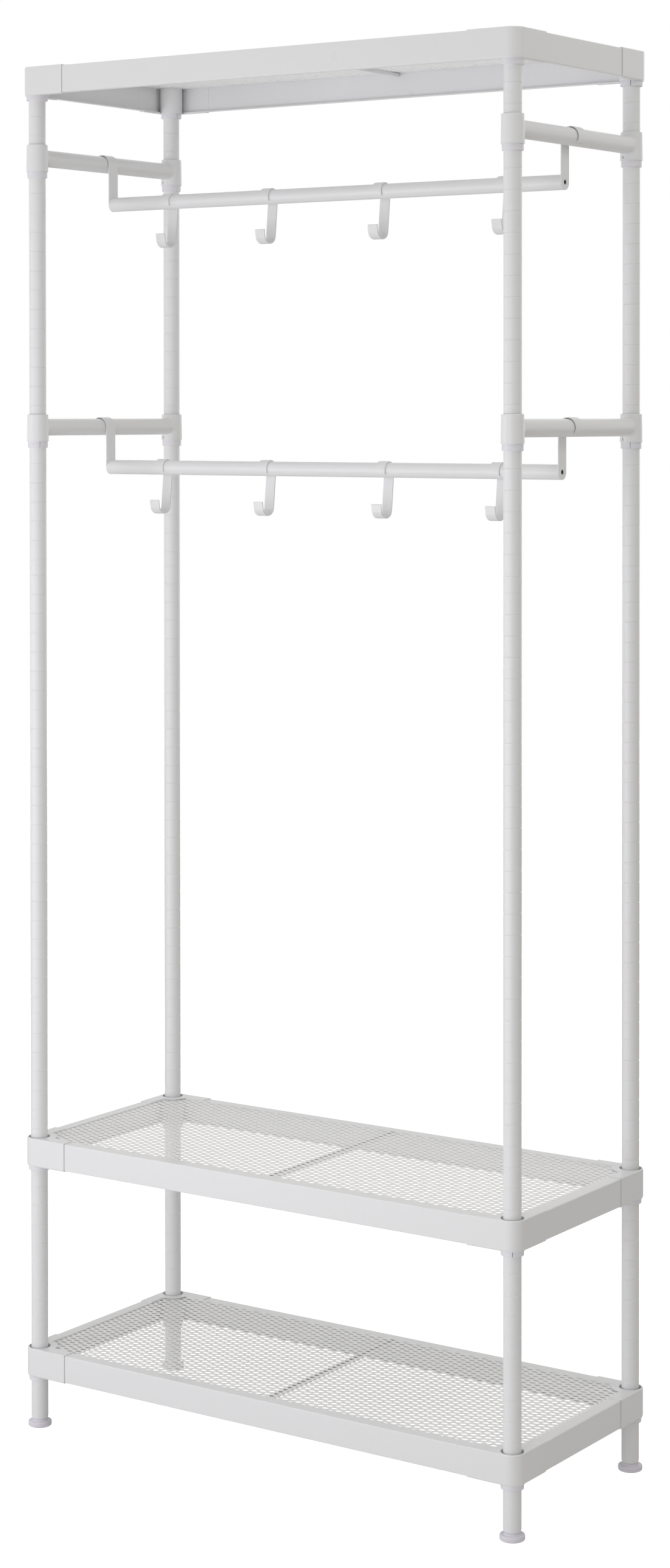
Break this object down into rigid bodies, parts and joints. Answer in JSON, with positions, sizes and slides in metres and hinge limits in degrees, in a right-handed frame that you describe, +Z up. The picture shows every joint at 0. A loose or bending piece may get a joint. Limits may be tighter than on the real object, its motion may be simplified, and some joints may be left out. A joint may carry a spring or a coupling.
{
  "type": "coat stand",
  "caption": "Free-standing coat stand: slim grooved posts, mesh shelves at the top and near the floor, and cross rods between them with sliding coat hooks.",
  "frame": {"origin": "middle of the footprint, on the floor", "axes": "+X along the width towards the right as seen from the front, +Y from the front to the back, +Z up"},
  "size_m": [0.7634, 0.3234, 1.8],
  "materials": {
    "white_powder_coat": "white powder coat, low satin gloss",
    "wedge_plastic": "smooth moulded plastic, faintly blue white",
    "white_plastic": "moulded plastic, satin",
    "zinc_plated_steel": "bright zinc plating"
  },
  "bodies": {
    "stand": {"post_front_left_lower": "white_powder_coat", "post_front_left_middle": "white_powder_coat", "post_front_left_upper": "white_powder_coat", "post_front_right_lower": "white_powder_coat", "post_front_right_middle": "white_powder_coat", "post_front_right_upper": "white_powder_coat", "post_back_left_lower": "white_powder_coat", "post_back_left_middle": "white_powder_coat", "post_back_left_upper": "white_powder_coat", "post_back_right_lower": "white_powder_coat", "post_back_right_middle": "white_powder_coat", "post_back_right_upper": "white_powder_coat", "post_joint_studs": "zinc_plated_steel", "threaded_inserts": "zinc_plated_steel", "post_top_caps": "white_plastic", "top_shelf_long_rails": "white_powder_coat", "top_shelf_short_rails": "white_powder_coat", "top_shelf_corner_brackets": "white_powder_coat", "top_shelf_mesh": "white_powder_coat", "top_shelf_brace": "white_powder_coat", "middle_shelf_long_rails": "white_powder_coat", "middle_shelf_short_rails": "white_powder_coat", "middle_shelf_corner_brackets": "white_powder_coat", "middle_shelf_mesh": "white_powder_coat", "middle_shelf_brace": "white_powder_coat", "bottom_shelf_long_rails": "white_powder_coat", "bottom_shelf_short_rails": "white_powder_coat", "bottom_shelf_corner_brackets": "white_powder_coat", "bottom_shelf_mesh": "white_powder_coat", "bottom_shelf_brace": "white_powder_coat", "shelf_wedges": "wedge_plastic", "upper_bar_wedges": "wedge_plastic", "lower_bar_wedges": "wedge_plastic", "upper_side_bar_left": "white_powder_coat", "upper_side_bar_right": "white_powder_coat", "lower_side_bar_left": "white_powder_coat", "lower_side_bar_right": "white_powder_coat"},
    "foot_front_left": {"foot_pad_front_left": "white_plastic", "foot_stud_front_left": "zinc_plated_steel"},
    "foot_front_right": {"foot_pad_front_right": "white_plastic", "foot_stud_front_right": "zinc_plated_steel"},
    "foot_back_left": {"foot_pad_back_left": "white_plastic", "foot_stud_back_left": "zinc_plated_steel"},
    "foot_back_right": {"foot_pad_back_right": "white_plastic", "foot_stud_back_right": "zinc_plated_steel"},
    "upper_rod": {"upper_hanger_rod": "white_powder_coat", "upper_rod_bracket_left": "white_powder_coat", "upper_rod_bracket_right": "white_powder_coat"},
    "upper_hook_1": {"upper_hook_1": "white_powder_coat"},
    "upper_hook_2": {"upper_hook_2": "white_powder_coat"},
    "upper_hook_3": {"upper_hook_3": "white_powder_coat"},
    "upper_hook_4": {"upper_hook_4": "white_powder_coat"},
    "lower_rod": {"lower_hanger_rod": "white_powder_coat", "lower_rod_bracket_left": "white_powder_coat", "lower_rod_bracket_right": "white_powder_coat"},
    "lower_hook_1": {"lower_hook_1": "white_powder_coat"},
    "lower_hook_2": {"lower_hook_2": "white_powder_coat"},
    "lower_hook_3": {"lower_hook_3": "white_powder_coat"},
    "lower_hook_4": {"lower_hook_4": "white_powder_coat"}
  },
  "joints": [
    {"name": "foot_front_left_screw_out", "type": "slide", "parent": "stand", "child": "foot_front_left", "axis": [0, 0, -1], "range_m": [0, 0.012]},
    {"name": "foot_front_right_screw_out", "type": "slide", "parent": "stand", "child": "foot_front_right", "axis": [0, 0, -1], "range_m": [0, 0.012]},
    {"name": "foot_back_left_screw_out", "type": "slide", "parent": "stand", "child": "foot_back_left", "axis": [0, 0, -1], "range_m": [0, 0.012]},
    {"name": "foot_back_right_screw_out", "type": "slide", "parent": "stand", "child": "foot_back_right", "axis": [0, 0, -1], "range_m": [0, 0.012]},
    {"name": "upper_rod_slide", "type": "slide", "parent": "stand", "child": "upper_rod", "axis": [0, 1, 0], "range_m": [-0.1203, 0.1217]},
    {"name": "upper_hook_1_slide", "type": "slide", "parent": "upper_rod", "child": "upper_hook_1", "axis": [1, 0, 0], "range_m": [-0.0876, 0.0742]},
    {"name": "upper_hook_2_slide", "type": "slide", "parent": "upper_rod", "child": "upper_hook_2", "axis": [1, 0, 0], "range_m": [-0.0742, 0.0807]},
    {"name": "upper_hook_3_slide", "type": "slide", "parent": "upper_rod", "child": "upper_hook_3", "axis": [1, 0, 0], "range_m": [-0.0807, 0.0846]},
    {"name": "upper_hook_4_slide", "type": "slide", "parent": "upper_rod", "child": "upper_hook_4", "axis": [1, 0, 0], "range_m": [-0.0846, 0.0777]},
    {"name": "lower_rod_slide", "type": "slide", "parent": "stand", "child": "lower_rod", "axis": [0, 1, 0], "range_m": [-0.1139, 0.1281]},
    {"name": "lower_hook_1_slide", "type": "slide", "parent": "lower_rod", "child": "lower_hook_1", "axis": [1, 0, 0], "range_m": [-0.0821, 0.0776]},
    {"name": "lower_hook_2_slide", "type": "slide", "parent": "lower_rod", "child": "lower_hook_2", "axis": [1, 0, 0], "range_m": [-0.0776, 0.0849]},
    {"name": "lower_hook_3_slide", "type": "slide", "parent": "lower_rod", "child": "lower_hook_3", "axis": [1, 0, 0], "range_m": [-0.0849, 0.077]},
    {"name": "lower_hook_4_slide", "type": "slide", "parent": "lower_rod", "child": "lower_hook_4", "axis": [1, 0, 0], "range_m": [-0.077, 0.083]}
  ]
}
